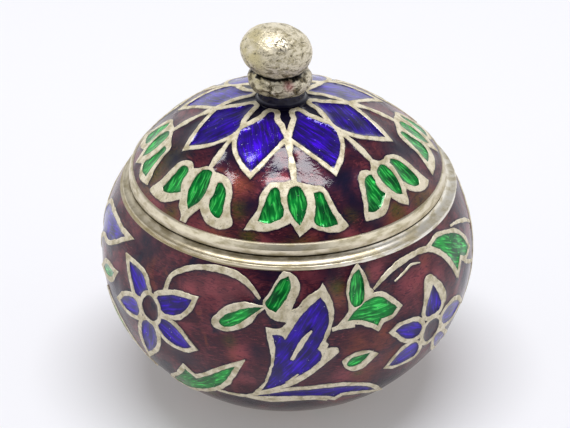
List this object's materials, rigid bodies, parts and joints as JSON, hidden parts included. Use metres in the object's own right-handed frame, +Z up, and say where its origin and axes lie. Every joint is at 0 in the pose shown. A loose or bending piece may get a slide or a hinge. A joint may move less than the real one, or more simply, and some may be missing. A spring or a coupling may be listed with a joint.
{
  "type": "enamel pill box",
  "caption": "Small round lidded pill box of silver with coloured champleve enamel flowers and leaves, a ball-shaped bowl, a lift-off domed lid and a ball knob.",
  "frame": {"origin": "middle of the flat underside", "axes": "+Z up through the knob, -Y towards the front shown in the picture, +X to the right as seen from the front"},
  "size_m": [0.036, 0.036, 0.0362],
  "materials": {
    "bowl_enamel": "glossy translucent enamel in maroon, cobalt blue and green between raised silver lines",
    "lid_enamel": "glossy translucent enamel in cobalt blue, green and dark brown between raised silver lines",
    "polished_silver": "polished silver with fine scratches and a warm tarnish",
    "cast_silver": "worn cast silver with pits and dark tarnish in its hollows"
  },
  "bodies": {
    "root": {"bowl": "bowl_enamel", "bowl_rim": "polished_silver", "lid": "lid_enamel", "lid_rim": "polished_silver", "knob": "cast_silver"}
  },
  "joints": []
}
